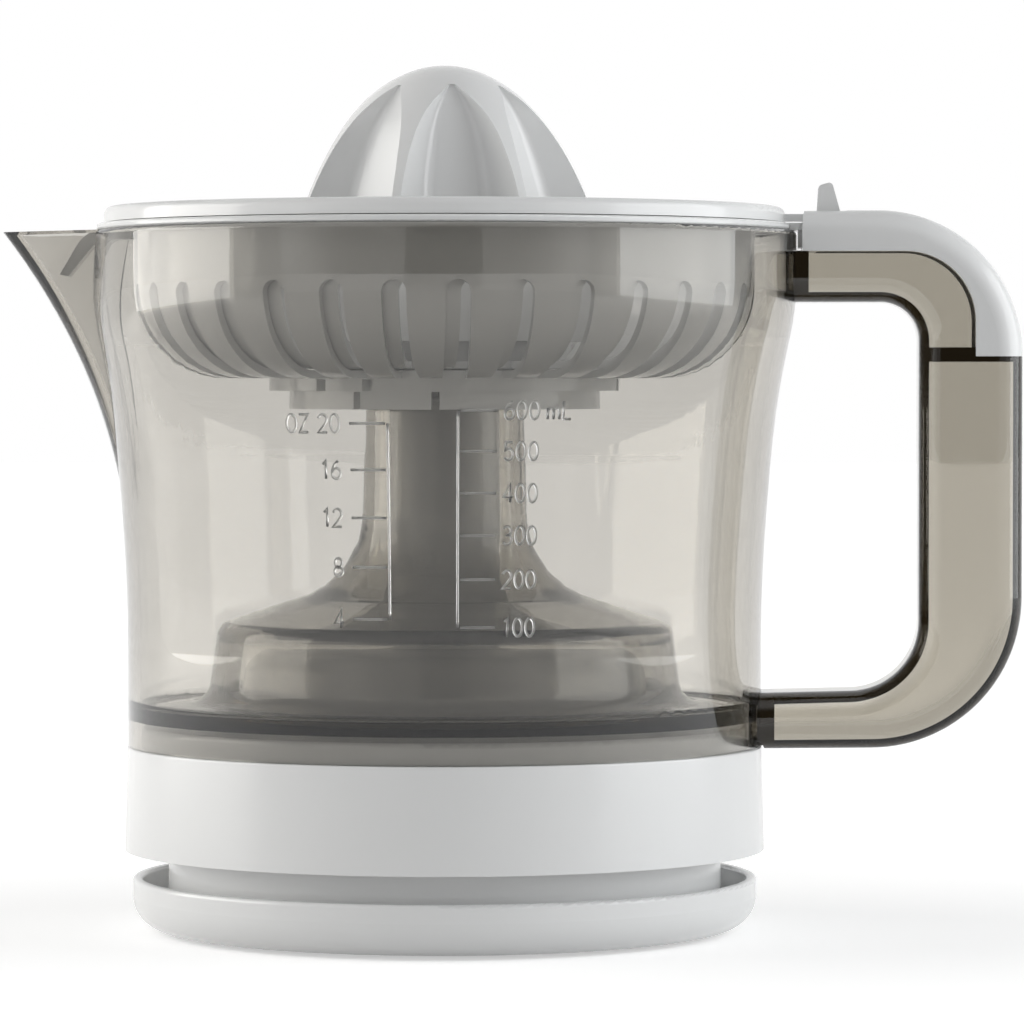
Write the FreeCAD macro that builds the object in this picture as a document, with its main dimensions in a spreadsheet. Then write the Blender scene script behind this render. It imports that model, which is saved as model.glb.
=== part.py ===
import FreeCAD, Part
import math
import os

import Sketcher
from FreeCAD import Placement, Rotation, Vector

# Electric citrus press. Lengths are in millimetres.
# The drive axis is Z, the feet stand on Z = 0, the spout points to -X and the handle to +X.
# The pieces are drawn about the drive axis and written about the middle of the whole width.

SIZES = {
    # place of the drive axis from the middle of the whole width, towards the spout
    "axis_offset": 13.76,
    # feet and tray
    "foot_proud": 0.7,
    "foot_radius": 6.0,
    "foot_circle": 42.0,
    "tray_radius": 65.5,
    "tray_top": 11.5,
    "tray_floor": 2.4,
    "tray_wall": 2.1,
    "tray_round": 7.0,
    "spool_radius": 58.0,
    "spool_wall": 2.0,
    # housing
    "housing_bottom": 17.3,
    "housing_foot_radius": 67.1,
    "seat_radius": 66.6,
    "seat_top": 39.1,
    "seat_gap": 0.05,
    "housing_wall": 2.2,
    "spigot_rise": 4.4,
    "spigot_gap": 0.5,
    "dome_radius": 42.6,
    "dome_top": 57.8,
    "dome_crown": 66.0,
    "tower_radius": 11.5,
    "tower_top": 112.0,
    "tower_bore": 9.0,
    "sleeve_radius": 11.0,
    "sleeve_bottom": 50.3,
    "sleeve_top": 60.5,
    "boss_circle": 50.0,
    "boss_radius": 4.0,
    "screw_radius": 1.5,
    "head_radius": 3.0,
    "head_height": 1.6,
    # gear train
    "plate_bottom": 27.0,
    "plate_thick": 2.0,
    "post_radius": 3.5,
    "first_module": 0.6,
    "second_module": 0.7,
    "third_module": 0.9,
    "pinion_teeth": 12,
    "wheel_teeth": 42,
    "mesh_gap": 0.12,
    "mesh_slack": 0.14,
    "pin_radius": 1.5,
    "run_gap": 0.05,
    "second_angle": 110.0,
    # motor
    "rotor_x": 20.0,
    "rotor_y": 27.0,
    "magnet_radius": 8.4,
    "magnet_length": 13.0,
    "air_gap": 0.6,
    "core_bottom": 9.5,
    "core_stack": 12.0,
    "core_left": 34.0,
    "core_half_width": 14.8,
    "leg_width": 8.5,
    "pole_wall": 4.0,
    "coil_start": 25.0,
    "coil_length": 26.0,
    "coil_build": 4.4,
    "bobbin_wall": 0.8,
    # drive shaft
    "shaft_radius": 4.0,
    "shaft_bottom": 22.0,
    "shaft_top": 141.0,
    "flat_half": 3.2,
    "hex_half": 3.5,
    "hex_length": 21.0,
    "bush_wall": 2.9,
    "bush_length": 10.0,
    "press_travel": 2.5,
    "clip_radius": 6.8,
    "clip_bottom": 36.2,
    "clip_thick": 1.2,
    "spring_radius": 5.6,
    "spring_wire": 0.9,
    "spring_turns": 4.0,
    # start switch
    "switch_long": 20.0,
    "switch_wide": 6.4,
    "switch_top": 17.0,
    "button_long": 5.0,
    "button_wide": 3.0,
    "button_gap": 0.15,
    # cord gland
    "gland_height": 10.4,
    "gland_radius": 4.2,
    "gland_bore": 3.2,
    # jug
    "jug_wall": 2.4,
    "jug_foot_radius": 66.5,
    "jug_rim_radius": 73.8,
    "jug_rim_top": 146.6,
    "floor_top": 47.3,
    "floor_thick": 2.6,
    "flare_start": 74.0,
    "flare_middle": 111.0,
    "flare_radius": 69.5,
    "collar_bottom": 130.5,
    "hat_radius": 49.8,
    "hat_shoulder": 47.6,
    "hat_top": 64.4,
    "column_radius": 16.4,
    "column_foot": 17.6,
    "column_blend": 74.0,
    "column_top": 118.0,
    "spout_apex": 95.2,
    "spout_half_width": 27.0,
    "spout_start": 84.0,
    # handle
    "grip_outer": 120.6,
    "grip_inner": 99.1,
    "grip_top": 150.8,
    "grip_under": 131.7,
    "grip_low_top": 51.2,
    "grip_low_bottom": 38.6,
    "grip_half_width": 11.5,
    "grip_round": 5.0,
    "grip_wall": 2.4,
    "cap_split": 142.2,
    "cap_end": 120.4,
    "cap_back": 110.7,
    "web_bottom": 119.3,
    "web_top": 122.3,
    # strainer basket
    "bowl_radius": 65.0,
    "bowl_wall": 1.6,
    "bowl_bottom": 116.0,
    "bowl_round": 19.0,
    "flange_thick": 1.5,
    "flange_lap": 1.0,
    "tab_length": 2.4,
    "tab_half_width": 9.0,
    "tab_lip": 1.2,
    "tab_drop": 3.6,
    "slot_count": 32,
    "slot_width": 5.0,
    "slot_top": 135.5,
    "slot_inner": 39.0,
    "plate_radius": 36.8,
    "plate_drop": 2.6,
    "ring_radius": 32.6,
    "ring_wall": 2.0,
    "ring_drop": 3.8,
    "ring_slit": 1.5,
    "notch_width": 2.4,
    "chimney_radius": 18.4,
    "chimney_rise": 8.0,
    # pulp regulator
    "inner_gap": 0.4,
    "inner_wall": 1.5,
    "rim_gap": 0.2,
    "rim_step": 1.5,
    "rim_height": 3.3,
    "lever_depth": 5.6,
    "lever_gap": 4.0,
    "lever_half_width": 3.0,
    "lever_top": 156.9,
    "lever_swing": 2.8125,
    "finger_radius": 28.0,
    "finger_wall": 1.6,
    "hook_reach": 1.3,
    # reamer
    "reamer_radius": 37.5,
    "reamer_rise": 70.0,
    "reamer_centre": 111.4,
    "reamer_bottom": 123.7,
    "ridge_count": 7,
    "hub_radius": 7.5,
    "hub_bottom": 121.0,
    "socket_gap": 0.12,
}


class Size:
    """A length with the sheet expression that drives it."""

    def __init__(self, value, text):
        self.value = value
        self.text = text

    def __add__(self, other):
        return Size(self.value + value_of(other), f"({self.text} + {text_of(other)})")

    def __sub__(self, other):
        return Size(self.value - value_of(other), f"({self.text} - {text_of(other)})")

    def __mul__(self, other):
        return Size(self.value * value_of(other), f"({self.text} * {text_of(other)})")

    def __truediv__(self, other):
        return Size(self.value / value_of(other), f"({self.text} / {text_of(other)})")

    def __rsub__(self, other):
        return Size(value_of(other) - self.value, f"({text_of(other)} - {self.text})")

    def __radd__(self, other):
        return self + other

    def __rmul__(self, other):
        return self * other

    def __neg__(self):
        return Size(-self.value, f"(0 - {self.text})")


def value_of(size):
    return size.value if isinstance(size, Size) else float(size)


def text_of(size):
    return size.text if isinstance(size, Size) else f"({size})"


class Sheet:
    """The driving sizes, one named cell each."""

    def __init__(self, doc):
        self.cells = doc.addObject("Spreadsheet::Sheet", "dims")
        for row, (alias, value) in enumerate(SIZES.items(), start=1):
            self.cells.set(f"A{row}", alias.replace("_", " "))
            self.cells.set(f"B{row}", str(value))
            self.cells.setAlias(f"B{row}", alias)
        doc.recompute()

    def __getattr__(self, alias):
        return Size(float(self.cells.get(alias)), f"dims.{alias}")


def bind(item, name, size):
    item.setExpression(name, text_of(size))


# Sketches and features

def new_body(doc, name):
    body = doc.addObject("PartDesign::Body", name)
    body.Label = name
    return body


def origin_part(body, role):
    for item in body.Origin.OriginFeatures:
        if item.Role == role:
            return item
    raise ValueError(role)


def sketch_on(body, role, name, lift=None):
    sketch = body.newObject("Sketcher::SketchObject", name)
    sketch.AttachmentSupport = [(origin_part(body, role), "")]
    sketch.MapMode = "FlatFace"
    if lift is not None:
        sketch.AttachmentOffset = Placement(Vector(0, 0, value_of(lift)), Rotation())
        bind(sketch, "AttachmentOffset.Base.z", lift)
    return sketch


class Constraints:
    """Gathers constraints, adds them at once and ties their sizes to the sheet."""

    def __init__(self, sketch):
        self.sketch = sketch
        self.items = []
        self.driven = []

    def add(self, *what):
        self.items.append(Sketcher.Constraint(*what))

    def add_size(self, size, *what):
        if isinstance(size, Size):
            self.driven.append((len(self.items), size.text))
        self.items.append(Sketcher.Constraint(*what, value_of(size)))

    def pin(self, shape, end, across, up):
        if isinstance(across, Size):
            self.add_size(across, "DistanceX", -1, 1, shape, end)
        elif across == 0:
            self.add("PointOnObject", shape, end, -2)
        else:
            self.add_size(across, "DistanceX", -1, 1, shape, end)
        if not isinstance(up, Size) and up == 0:
            self.add("PointOnObject", shape, end, -1)
        else:
            self.add_size(up, "DistanceY", -1, 1, shape, end)

    def close(self):
        first = self.sketch.ConstraintCount
        self.sketch.addConstraint(self.items)
        for index, text in self.driven:
            self.sketch.setExpression(f"Constraints[{first + index}]", text)


def corner_arc(before, corner, after):
    """Arc touching both runs, and whether it turns left."""
    one = (before - corner).normalize()
    two = (after - corner).normalize()
    middle = (one + two).normalize()
    reach = (before - corner).Length
    half = one.getAngle(middle)
    centre = corner + middle * (reach / math.cos(half))
    radius = reach * math.tan(half)
    left = (corner - before).cross(after - corner).z > 0
    start, end = (before, after) if left else (after, before)
    first = math.atan2(start.y - centre.y, start.x - centre.x)
    last = math.atan2(end.y - centre.y, end.x - centre.x)
    arc = Part.ArcOfCircle(Part.Circle(centre, Vector(0, 0, 1), radius), first, last)
    return arc, left


def outline(sketch, corners):
    """Closed outline through corners (across, up) or (across, up, set back of a rounding)."""
    points = [Vector(value_of(c[0]), value_of(c[1]), 0) for c in corners]
    backs = [value_of(c[2]) if len(c) > 2 else 0.0 for c in corners]
    count = len(corners)
    ends = []
    for here in range(count):
        there = (here + 1) % count
        along = (points[there] - points[here]).normalize()
        ends.append((points[here] + along * backs[here], points[there] - along * backs[there]))
    lines = [sketch.addGeometry(Part.LineSegment(*pair)) for pair in ends]
    rules = Constraints(sketch)
    for here, corner in enumerate(corners):
        before, after = lines[here - 1], lines[here]
        if not backs[here]:
            rules.add("Coincident", before, 2, after, 1)
            rules.pin(after, 1, corner[0], corner[1])
            continue
        arc, left = corner_arc(ends[here - 1][1], points[here], ends[here][0])
        bend = sketch.addGeometry(arc)
        mark = sketch.addGeometry(Part.Point(points[here]), True)
        rules.pin(mark, 1, corner[0], corner[1])
        rules.add("PointOnObject", mark, 1, before)
        rules.add("PointOnObject", mark, 1, after)
        rules.add("Tangent", before, 2, bend, 1 if left else 2)
        rules.add("Tangent", bend, 2 if left else 1, after, 1)
        rules.add_size(corner[2], "Distance", mark, 1, after, 1)
    rules.close()
    return sketch


def circles(sketch, rounds):
    """Circles (across, up, radius)."""
    rules = Constraints(sketch)
    for across, up, radius in rounds:
        middle = Vector(value_of(across), value_of(up), 0)
        ring = sketch.addGeometry(Part.Circle(middle, Vector(0, 0, 1), value_of(radius)))
        rules.pin(ring, 3, across, up)
        rules.add_size(radius, "Radius", ring)
    rules.close()
    return sketch


def revolved(doc, name, corners, kind="PartDesign::Revolution", body=None):
    body = body or new_body(doc, name)
    sketch = outline(sketch_on(body, "XZ_Plane", name + "_profile"), corners)
    turn = body.newObject(kind, name + "_turn")
    turn.Profile = sketch
    turn.ReferenceAxis = (sketch, ["V_Axis"])
    turn.Angle = 360
    return body


def raised(body, kind, sketch, length, backward=False, both_ways=False):
    """Pad or pocket of a sketch."""
    step = body.newObject("PartDesign::" + kind, sketch.Name + "_" + kind.lower())
    step.Profile = sketch
    step.Length = value_of(length)
    bind(step, "Length", length)
    step.Reversed = backward
    if both_ways:
        step.SideType = "Symmetric"
    return step


def ring_of(body, name, step, count):
    pattern = body.newObject("PartDesign::PolarPattern", name)
    pattern.Originals = [step]
    pattern.Axis = (origin_part(body, "Z_Axis"), [""])
    pattern.Angle = 360
    pattern.Occurrences = int(value_of(count))
    bind(pattern, "Occurrences", count)
    body.Tip = pattern
    return pattern


# Plain solids

def cylinder(doc, name, radius, height, x=0, y=0, z=0):
    item = doc.addObject("Part::Cylinder", name)
    for prop, size in (("Radius", radius), ("Height", height)):
        bind(item, prop, size)
    set_place(item, x, y, z)
    return item


def box(doc, name, long, wide, high, x, y, z):
    item = doc.addObject("Part::Box", name)
    for prop, size in (("Length", long), ("Width", wide), ("Height", high)):
        bind(item, prop, size)
    set_place(item, x, y, z)
    return item


def set_place(item, x, y, z):
    for axis, size in (("x", x), ("y", y), ("z", z)):
        bind(item, "Placement.Base." + axis, size)


def cut(doc, name, base, tool):
    item = doc.addObject("Part::Cut", name)
    item.Base = base
    item.Tool = tool
    return item


def join(doc, name, items):
    item = doc.addObject("Part::MultiFuse", name)
    item.Shapes = items
    item.Refine = True
    return item


def group(doc, name, items):
    item = doc.addObject("Part::Compound", name)
    item.Links = items
    return item


def tube(doc, name, outer, inner, height, x=0, y=0, z=0):
    return cut(doc, name, cylinder(doc, name + "_outer", outer, height, x, y, z),
               cylinder(doc, name + "_inner", inner, height, x, y, z))


def around(circle, angle):
    """Place on a circle about the drive axis."""
    return (circle * round(math.cos(math.radians(angle)), 6),
            circle * round(math.sin(math.radians(angle)), 6))


# Base

BOSS_ANGLES = (-90, 30, 150)
FOOT_ANGLES = (45, 135, 225, 315)
POSTS = ((-24.0, -9.0), (26.0, -9.0))


def deck_top(s):
    return s.seat_top + s.spigot_rise


def deck_under(s):
    return deck_top(s) - s.housing_wall


def spigot_radius(s):
    return s.jug_foot_radius - s.jug_wall - s.spigot_gap


def tray_inside(s):
    return s.foot_proud + s.tray_floor


def bush_radius(s):
    return s.shaft_radius + s.bush_wall


def make_housing(doc, s):
    wall = s.housing_wall
    spigot = spigot_radius(s)
    seat_under = s.seat_top - wall
    bush = bush_radius(s)
    shoulder = s.tower_top - s.bush_length
    body = revolved(doc, "motor_housing", [
        (s.housing_foot_radius, s.housing_bottom),
        (s.seat_radius, s.seat_top, 0.5),
        (spigot, s.seat_top),
        (spigot, deck_top(s), 1.0),
        (s.dome_radius + 0.8, deck_top(s), 2.5),
        (s.dome_radius - 1.0, s.dome_top, 4.0),
        (s.tower_radius + 0.3, s.dome_crown, 7.0),
        (s.tower_radius, s.tower_top, 1.0),
        (bush, s.tower_top),
        (bush, shoulder),
        (s.tower_bore, shoulder - 2.0),
        (s.tower_bore, s.sleeve_top),
        (s.shaft_radius + 1.2, s.sleeve_top),
        (s.shaft_radius + 1.2, s.sleeve_bottom),
        (s.sleeve_radius, s.sleeve_bottom),
        (s.sleeve_radius, s.dome_crown - wall, 1.0),
        (s.dome_radius - 1.0 - wall, s.dome_top - wall, 2.5),
        (s.dome_radius + 0.8 - wall, deck_under(s), 1.0),
        (spigot - wall, deck_under(s), 1.0),
        (spigot - wall, seat_under),
        (s.seat_radius - wall, seat_under),
        (s.housing_foot_radius - wall, s.housing_bottom),
    ])
    # pillars for the screws that hold spool and tray
    boss = around(s.boss_circle, 30)
    pillar = circles(sketch_on(body, "XY_Plane", "pillar", tray_inside(s)), [(*boss, s.boss_radius)])
    rise = raised(body, "Pad", pillar, deck_under(s) + 0.2 - tray_inside(s))
    ring_of(body, "pillars", rise, len(BOSS_ANGLES))
    hole = circles(sketch_on(body, "XY_Plane", "pilot", tray_inside(s)), [(*boss, s.screw_radius)])
    drill = raised(body, "Pocket", hole, 12.0, backward=True)
    ring_of(body, "pilots", drill, len(BOSS_ANGLES))
    return body


def plate_under(s):
    return s.housing_bottom + 0.4


def make_spool(doc, s):
    """Wall that the cord is wound on, and the flat plate that closes the housing above it."""
    inner = s.spool_radius - s.spool_wall
    wall = revolved(doc, "cord_spool", [
        (s.spool_radius, tray_inside(s)),
        (s.spool_radius, plate_under(s)),
        (inner, plate_under(s)),
        (inner, tray_inside(s)),
    ])
    hole = circles(sketch_on(wall, "XZ_Plane", "gland_hole", -(s.spool_radius + 4)),
                   [(0, s.gland_height, s.gland_radius)])
    raised(wall, "Pocket", hole, 8.0, backward=True)
    outer = s.housing_foot_radius - s.housing_wall - 0.3
    top = plate_under(s) + s.spool_wall
    plate = revolved(doc, "bottom_plate", [
        (outer, plate_under(s)),
        (outer, top),
        (inner, top),
        (inner, plate_under(s)),
    ])
    return [wall, plate]


def make_tray(doc, s):
    inside = tray_inside(s)
    body = revolved(doc, "base_tray", [
        (0, s.foot_proud),
        (s.tray_radius, s.foot_proud, s.tray_round),
        (s.tray_radius, s.tray_top, 0.8),
        (s.tray_radius - s.tray_wall, s.tray_top, 0.8),
        (s.tray_radius - s.tray_wall, inside, s.tray_round * 0.55),
        (0, inside),
    ])
    # posts that carry the gear plate
    posts = circles(sketch_on(body, "XY_Plane", "posts", inside - 0.1),
                    [(x, y, s.post_radius) for x, y in POSTS])
    raised(body, "Pad", posts, s.plate_bottom - inside + 0.1)
    pilots = circles(sketch_on(body, "XY_Plane", "post_pilots", s.plate_bottom),
                     [(x, y, s.screw_radius) for x, y in POSTS])
    raised(body, "Pocket", pilots, 8.0)
    # block below the start switch
    stand = outline(sketch_on(body, "XY_Plane", "switch_stand", inside - 0.1), [
        (-(s.switch_long / 2), -(s.switch_wide / 2)), (s.switch_long / 2, -(s.switch_wide / 2)),
        (s.switch_long / 2, s.switch_wide / 2), (-(s.switch_long / 2), s.switch_wide / 2)])
    raised(body, "Pad", stand, 3.1)
    # screw holes with sunk heads, foot seats and a ring of vents
    boss = around(s.boss_circle, 30)
    sunk = circles(sketch_on(body, "XY_Plane", "sunk", s.foot_proud), [(*boss, s.head_radius + 0.3)])
    deep = raised(body, "Pocket", sunk, s.head_height, backward=True)
    ring_of(body, "sunk_heads", deep, len(BOSS_ANGLES))
    way = circles(sketch_on(body, "XY_Plane", "way", s.foot_proud), [(*boss, s.screw_radius)])
    through = raised(body, "Pocket", way, s.tray_floor + 1, backward=True)
    ring_of(body, "screw_ways", through, len(BOSS_ANGLES))
    foot = around(s.foot_circle, 45)
    seat = circles(sketch_on(body, "XY_Plane", "foot_seat", s.foot_proud), [(*foot, s.foot_radius)])
    shallow = raised(body, "Pocket", seat, 1.0, backward=True)
    ring_of(body, "foot_seats", shallow, len(FOOT_ANGLES))
    vent = outline(sketch_on(body, "XY_Plane", "vent", s.foot_proud), [
        (20.0, -1.0, 0.9), (31.0, -1.0, 0.9), (31.0, 1.0, 0.9), (20.0, 1.0, 0.9)])
    slit = raised(body, "Pocket", vent, s.tray_floor + 1, backward=True)
    ring_of(body, "vents", slit, 12)
    return body


def make_feet(doc, s):
    feet = []
    for number, angle in enumerate(FOOT_ANGLES, start=1):
        x, y = around(s.foot_circle, angle)
        feet.append(cylinder(doc, f"foot_{number}", s.foot_radius, s.foot_proud + 1.0, x, y, 0))
    return group(doc, "rubber_feet", feet)


def screw(doc, name, s, x, y, seat, length, upward):
    """Round head with a plain shank; the shank points up or down from the seat plane."""
    below = seat - s.head_height
    head_z, shank_z = (below, below) if upward else (seat, seat - length)
    head = cylinder(doc, name + "_head", s.head_radius, s.head_height, x, y, head_z)
    shank = cylinder(doc, name + "_shank", s.screw_radius, length + s.head_height, x, y, shank_z)
    slot = box(doc, name + "_slot", s.head_radius * 2, 0.8, 0.7, x - s.head_radius, y - 0.4,
               below if upward else seat + s.head_height - 0.7)
    return cut(doc, name, join(doc, name + "_blank", [head, shank]), slot)


def make_screws(doc, s):
    seat = s.foot_proud + s.head_height
    base = []
    for number, angle in enumerate(BOSS_ANGLES, start=1):
        x, y = around(s.boss_circle, angle)
        base.append(screw(doc, f"base_screw_{number}", s, x, y, seat, s.tray_floor + 8.0, True))
    plate_top = s.plate_bottom + s.plate_thick
    plate = [screw(doc, f"plate_screw_{number}", s, x, y, plate_top, s.plate_thick + 6.0, False)
             for number, (x, y) in enumerate(POSTS, start=1)]
    return [group(doc, "base_screws", base), group(doc, "plate_screws", plate)]


def make_gland(doc, s):
    """Sleeve through the spool wall with a flange on each side."""
    outer = s.spool_radius + 2.0
    inner = s.spool_radius - s.spool_wall - 2.0
    body = new_body(doc, "cord_gland")
    flange = s.gland_radius + 1.4
    parts = (("gland_front", s.spool_radius + 0.6, outer, flange),
             ("gland_neck", inner + 1.0, outer, s.gland_radius - s.run_gap),
             ("gland_back", inner, inner + 1.2, flange))
    for name, near, far, radius in parts:
        sketch = circles(sketch_on(body, "XZ_Plane", name, -far), [(0, s.gland_height, radius)])
        raised(body, "Pad", sketch, far - near)
    bore = circles(sketch_on(body, "XZ_Plane", "gland_bore_ring", -(outer + 1)),
                   [(0, s.gland_height, s.gland_bore)])
    raised(body, "Pocket", bore, 12.0, backward=True)
    return body


# Motor and gear train

def leg_middle(s):
    return s.core_half_width - s.leg_width / 2


def make_stator(doc, s):
    body = new_body(doc, "stator_core")
    left, half = -s.core_left, s.core_half_width
    right = s.rotor_x + s.magnet_radius + s.air_gap + s.pole_wall
    low, high = s.rotor_y - half, s.rotor_y + half
    blank = outline(sketch_on(body, "XY_Plane", "core", s.core_bottom), [
        (left, low, 1.5), (right, low, 4.0), (right, high, 4.0), (left, high, 1.5)])
    raised(body, "Pad", blank, s.core_stack)
    window = outline(sketch_on(body, "XY_Plane", "window", s.core_bottom), [
        (left + s.leg_width, low + s.leg_width), (s.rotor_x, low + s.leg_width),
        (s.rotor_x, high - s.leg_width), (left + s.leg_width, high - s.leg_width)])
    raised(body, "Pocket", window, s.core_stack, backward=True)
    bore = circles(sketch_on(body, "XY_Plane", "rotor_bore", s.core_bottom),
                   [(s.rotor_x, s.rotor_y, s.magnet_radius + s.air_gap)])
    raised(body, "Pocket", bore, s.core_stack, backward=True)
    gap = outline(sketch_on(body, "XY_Plane", "pole_gap", s.core_bottom), [
        (s.rotor_x, s.rotor_y - 2.0), (right + 1, s.rotor_y - 2.0),
        (right + 1, s.rotor_y + 2.0), (s.rotor_x, s.rotor_y + 2.0)])
    raised(body, "Pocket", gap, s.core_stack, backward=True)
    return body


def sleeve_box(doc, name, s, side, grow, start, length, wall):
    """Square sleeve about one leg of the core."""
    middle = s.rotor_y + leg_middle(s) * side
    inner_y, inner_z = s.leg_width / 2 + grow, s.core_stack / 2 + grow
    outer_y, outer_z = inner_y + wall, inner_z + wall
    z = s.core_bottom + s.core_stack / 2
    shell = box(doc, name + "_outer", length, outer_y * 2, outer_z * 2, -start, middle - outer_y, z - outer_z)
    hole = box(doc, name + "_inner", length, inner_y * 2, inner_z * 2, -start, middle - inner_y, z - inner_z)
    return cut(doc, name, shell, hole)


def make_windings(doc, s):
    bobbins, coils = [], []
    for side in (-1, 1):
        tag = "front" if side < 0 else "rear"
        spool = sleeve_box(doc, f"bobbin_{tag}_tube", s, side, 0.05, s.coil_start, s.coil_length, s.bobbin_wall)
        ends = [sleeve_box(doc, f"bobbin_{tag}_{end}", s, side, 0.05, start, s.bobbin_wall, s.coil_build)
                for end, start in (("left", s.coil_start), ("right", s.coil_start - s.coil_length + s.bobbin_wall))]
        bobbins.append(join(doc, f"bobbin_{tag}", [spool] + ends))
        coils.append(sleeve_box(doc, f"coil_{tag}", s, side, s.bobbin_wall + 0.05, s.coil_start - s.bobbin_wall,
                                s.coil_length - s.bobbin_wall * 2, s.coil_build - s.bobbin_wall))
    return [group(doc, "coil_bobbins", bobbins), group(doc, "motor_coils", coils)]


def gear_face(teeth, module, slack):
    """Flat-sided spur gear outline with the teeth's flanks on the involute."""
    pressure = math.radians(20)
    pitch = teeth * module / 2
    base = pitch * math.cos(pressure)
    half = math.pi / (2 * teeth) - slack / (2 * pitch)

    def flank(radius):
        angle = math.acos(min(1.0, base / max(radius, base)))
        return half + math.tan(pressure) - pressure - math.tan(angle) + angle

    root, tip = pitch - 1.25 * module, pitch + 0.9 * module
    radii = (root, max(root, base), pitch, tip)
    narrow = (0.86 if root < base else 1.0, 1.0, 1.0, 1.0)
    points = []
    for tooth in range(teeth):
        middle = 2 * math.pi * tooth / teeth
        flanks = [(radius, flank(radius) * share) for radius, share in zip(radii, narrow)]
        for radius, angle in flanks:
            points.append(Vector(radius * math.cos(middle - angle), radius * math.sin(middle - angle), 0))
        for radius, angle in reversed(flanks):
            points.append(Vector(radius * math.cos(middle + angle), radius * math.sin(middle + angle), 0))
    distinct = [p for p, q in zip(points, points[1:] + points[:1]) if p.distanceToPoint(q) > 1e-6]
    return Part.Face(Part.makePolygon(distinct + distinct[:1]))


def gear_solid(teeth, module, slack, bottom, height, turn):
    solid = gear_face(teeth, module, slack).extrude(Vector(0, 0, height))
    solid.rotate(Vector(), Vector(0, 0, 1), math.degrees(turn))
    solid.translate(Vector(0, 0, bottom))
    return solid


def meshing_turn(direction, driver_teeth, driver_turn, driven_teeth):
    """Turn of the driven gear that puts a gap where the driver has a tooth."""
    step = 2 * math.pi / driver_teeth
    ahead = (driver_turn - direction) % step
    return direction + math.pi - ahead * driver_teeth / driven_teeth - math.pi / driven_teeth


class Train:
    """Places, phases and levels of the gears."""

    def __init__(self, s):
        self.small, self.large = int(s.pinion_teeth.value), int(s.wheel_teeth.value)
        self.modules = (s.first_module.value, s.second_module.value, s.third_module.value)
        reach = [(self.small + self.large) * m / 2 + s.mesh_gap.value for m in self.modules]
        angle = math.radians(s.second_angle.value)
        self.output = Vector()
        self.second = Vector(math.cos(angle), math.sin(angle), 0) * reach[2]
        self.rotor = Vector(s.rotor_x.value, s.rotor_y.value, 0)
        span = self.rotor - self.second
        lean = (reach[1] ** 2 + span.Length ** 2 - reach[0] ** 2) / (2 * reach[1] * span.Length)
        way = math.atan2(span.y, span.x) + math.acos(max(-1.0, min(1.0, lean)))
        self.first = self.second + Vector(math.cos(way), math.sin(way), 0) * reach[1]
        self.second_turn = self.turn(self.output, self.second, self.large, 0.0, self.small)
        self.first_turn = self.turn(self.second, self.first, self.large, self.second_turn, self.small)
        self.rotor_turn = self.turn(self.first, self.rotor, self.large, self.first_turn, self.small)
        top = s.plate_bottom.value + s.plate_thick.value
        self.floor = top + 0.3
        self.level_one = top + 1.5
        self.level_two = self.level_one + 4.8
        self.level_three = self.level_two + 6.7

    @staticmethod
    def turn(driver, driven, driver_teeth, driver_turn, driven_teeth):
        way = driven - driver
        return meshing_turn(math.atan2(way.y, way.x), driver_teeth, driver_turn, driven_teeth)


def solid_feature(doc, name, shape, place=Vector()):
    item = doc.addObject("Part::Feature", name)
    item.Shape = shape
    item.Placement = Placement(place, Rotation())
    return item


def round_bar(radius, bottom, top):
    return Part.makeCylinder(radius, top - bottom, Vector(0, 0, bottom))


def idler(s, train, turn, wheel_module, pinion_module, wheel_bottom, wheel_height, top):
    slack = s.mesh_slack.value
    wheel = gear_solid(train.large, wheel_module, slack, wheel_bottom, wheel_height, turn)
    wheel_top = wheel_bottom + wheel_height
    pinion = gear_solid(train.small, pinion_module, slack, wheel_top, top - wheel_top, turn)
    hub = round_bar(s.pin_radius.value + 1.5, train.floor, wheel_bottom)
    bore = round_bar(s.pin_radius.value + s.run_gap.value, 0, top + 1)
    return wheel.fuse([pinion, hub]).cut(bore).removeSplitter()


def double_flat(radius, flat, bottom, top):
    slab = Part.makeBox(2 * flat, 4 * radius, top - bottom, Vector(-flat, -2 * radius, bottom))
    return round_bar(radius, bottom, top).common(slab)


def make_gears(doc, s):
    train = Train(s)
    small, slack = train.small, s.mesh_slack.value
    one, two, three = train.modules
    floor, first_z, second_z, third_z = train.floor, train.level_one, train.level_two, train.level_three
    gears = [
        solid_feature(doc, "first_idler", idler(
            s, train, train.first_turn, one, two, first_z, 3.6, second_z + 4.2), train.first),
        solid_feature(doc, "second_idler", idler(
            s, train, train.second_turn, two, three, second_z, 3.8, third_z + 6.0), train.second),
    ]
    hub_top = s.sleeve_bottom.value - 0.3
    hub_bottom = s.clip_bottom.value + s.clip_thick.value + 0.3
    wheel = gear_solid(train.large, three, slack, third_z, 5.4, 0.0)
    hub = round_bar(s.shaft_radius.value + 3.0, hub_bottom, hub_top)
    gap = s.run_gap.value
    bore = double_flat(s.shaft_radius.value + gap, s.flat_half.value + gap, hub_bottom - 1, hub_top + 1)
    gears.append(solid_feature(doc, "output_gear", wheel.fuse(hub).cut(bore).removeSplitter()))
    pinion = gear_solid(small, one, slack, first_z - 0.2, 4.0, train.rotor_turn)
    shaft_hole = round_bar(s.pin_radius.value, 0, first_z + 10)
    gears.append(solid_feature(doc, "motor_pinion", pinion.cut(shaft_hole), train.rotor))
    plate_bottom = s.plate_bottom.value
    pins = [round_bar(s.pin_radius.value, plate_bottom, second_z + 4.6).translated(train.first),
            round_bar(s.pin_radius.value, plate_bottom, third_z + 6.4).translated(train.second)]
    gears.append(solid_feature(doc, "idler_pins", Part.makeCompound(pins)))
    return gears, train


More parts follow.
